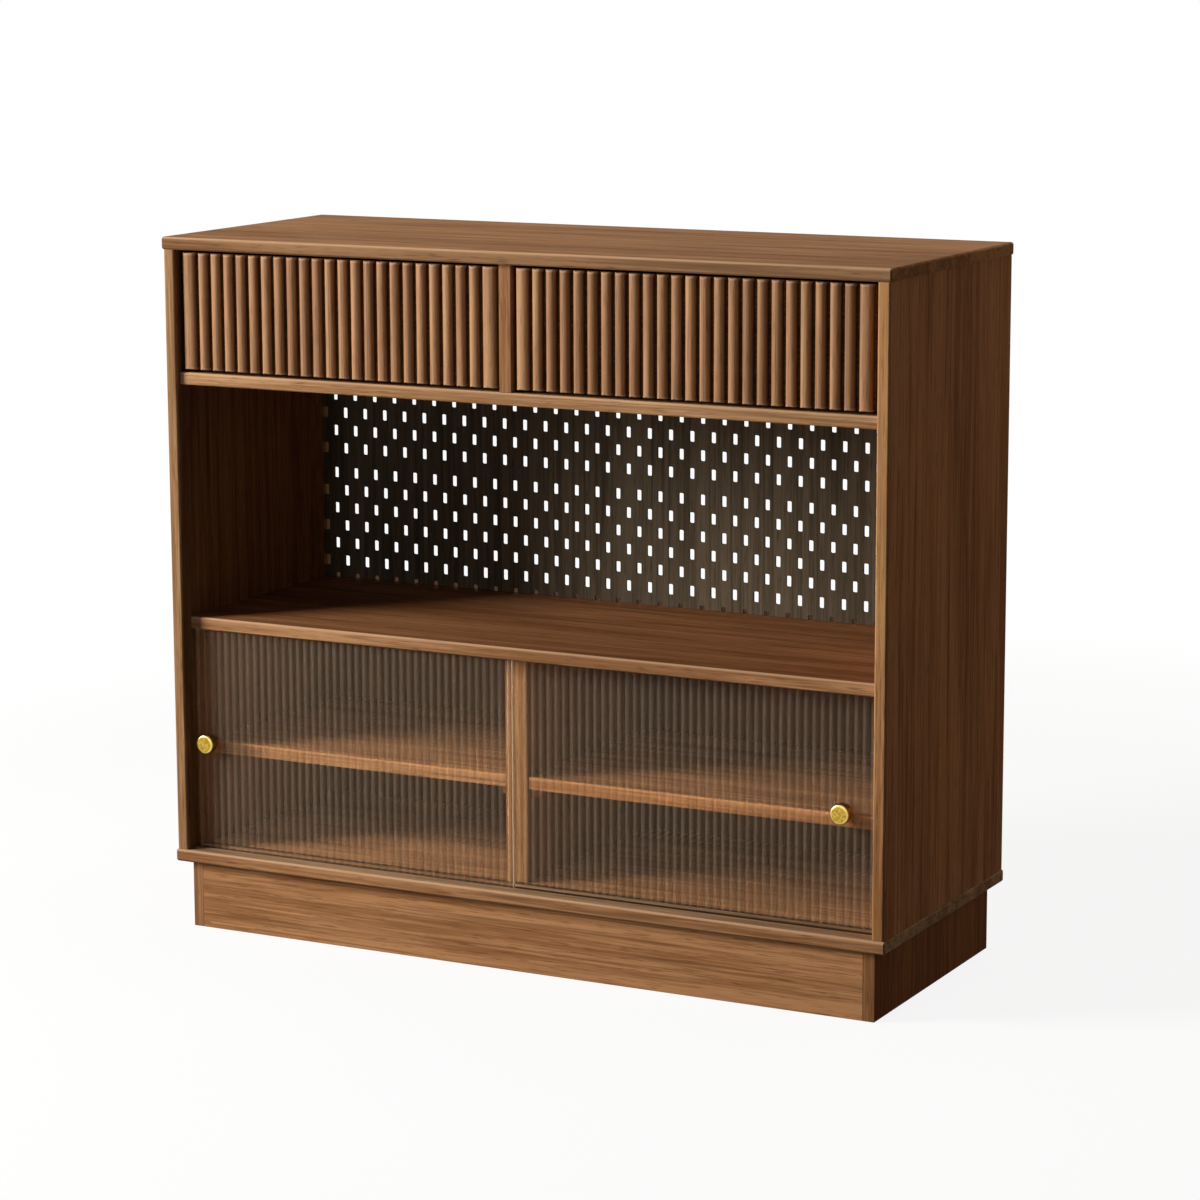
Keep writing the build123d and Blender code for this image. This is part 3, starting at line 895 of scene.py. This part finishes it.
# lamp, place, target, width and height, power, colour
LAMPS = (
    ("key", (-3.5, -2.65, 1.95), (0.0, 0.0, 0.55), (1.45, 2.2), 276.0, (1.0, 0.985, 0.96)),
    ("front", (-0.62, -4.0, 0.8), (-0.1, 0.16, 0.55), (0.8, 0.8), 12.0, (1.0, 1.0, 1.0)),
    ("overhead", (0.3, 0.3, 3.0), (0.0, 0.0, 0.8), (1.4, 1.4), 13.0, (1.0, 1.0, 1.0)),
    ("side", (2.6, 2.6, 1.4), (0.3, 0.1, 0.5), (1.5, 1.5), 16.6, (1.0, 0.8, 0.6)),
)


def seen_rays(tree):
    """1 for what the camera sees, directly, mirrored or through glass."""
    path = node(tree, "ShaderNodeLightPath")
    seen = math_node(tree, "ADD", path.outputs["Is Camera Ray"], path.outputs["Is Glossy Ray"])
    return math_node(tree, "ADD", seen, path.outputs["Is Transmission Ray"], True)


def pale_floor():
    """A white floor that keeps the cabinet's shadow and runs out into white."""
    work = bmesh.new()
    corners = ((-1, -1), (1, -1), (1, 1), (-1, 1))
    work.faces.new([work.verts.new((x * FLOOR_REACH, y * FLOOR_REACH, 0.0)) for x, y in corners])
    mesh = bpy.data.meshes.new("floor")
    work.to_mesh(mesh)
    work.free()
    obj = bpy.data.objects.new("floor", mesh)
    scene.collection.objects.link(obj)
    made, tree, shader = blank_material("floor_white")
    shader.inputs["Base Color"].default_value = FLOOR_TONE
    shader.inputs["Roughness"].default_value = FLOOR_ROUGH
    shader.inputs["Specular IOR Level"].default_value = 0.0
    away = vector_node(tree, "LENGTH", i0=object_place(tree))["Value"]
    glow = ramped(tree, away, *FLOOR_FADE, FLOOR_GLOW, 1.0)
    shader.inputs["Emission Color"].default_value = WHITE
    tree.links.new(math_node(tree, "MULTIPLY", seen_rays(tree), glow), shader.inputs["Emission Strength"])
    mesh.materials.append(made)


def white_world():
    """White to the camera and in reflections, a soft fill light for the rest."""
    world = bpy.data.worlds.new("studio")
    world.use_nodes = True
    tree = world.node_tree
    tree.links.new(mixed(tree, seen_rays(tree), FILL, WHITE), tree.nodes["Background"].inputs["Color"])
    scene.world = world


def area_light(name, place, target, size, power, colour):
    """A soft box of a width and height, aimed at a point."""
    data = bpy.data.lights.new(name, "AREA")
    data.shape = "RECTANGLE"
    data.size, data.size_y = size
    data.energy = power
    data.color = colour
    obj = bpy.data.objects.new(name, data)
    obj.location = place
    aim = Vector(target) - Vector(place)
    obj.rotation_euler = aim.to_track_quat("-Z", "Y").to_euler()
    scene.collection.objects.link(obj)


pale_floor()
white_world()
for lamp in LAMPS:
    area_light(*lamp)


# Camera at the photograph's viewing angle

PHOTO = 1200.0
FOCAL_PX = 3708.8
SENSOR = 36.0
CLIP_END = 200.0
AZIMUTH = math.radians(27.419)
ELEVATION = math.radians(10.529)
ROLL = math.radians(-0.2)
EYE = Vector((2.1504, -4.1, 1.3028))


def photo_camera():
    """A camera at the eye point, turned by the azimuth, elevation and roll."""
    data = bpy.data.cameras.new("camera")
    data.sensor_width = SENSOR
    data.lens = FOCAL_PX / PHOTO * SENSOR
    data.clip_end = CLIP_END
    obj = bpy.data.objects.new("camera", data)
    level = Vector((math.sin(AZIMUTH), -math.cos(AZIMUTH), 0.0))
    back = level * math.cos(ELEVATION) + Vector((0.0, 0.0, math.sin(ELEVATION)))
    right = Vector((math.cos(AZIMUTH), math.sin(AZIMUTH), 0.0))
    up = back.cross(right)
    rolled_right = math.cos(ROLL) * right + math.sin(ROLL) * up
    rolled_up = -math.sin(ROLL) * right + math.cos(ROLL) * up
    turn = Matrix((rolled_right, rolled_up, back)).transposed().to_4x4()
    obj.matrix_world = Matrix.Translation(EYE) @ turn
    scene.collection.objects.link(obj)
    scene.camera = obj


photo_camera()
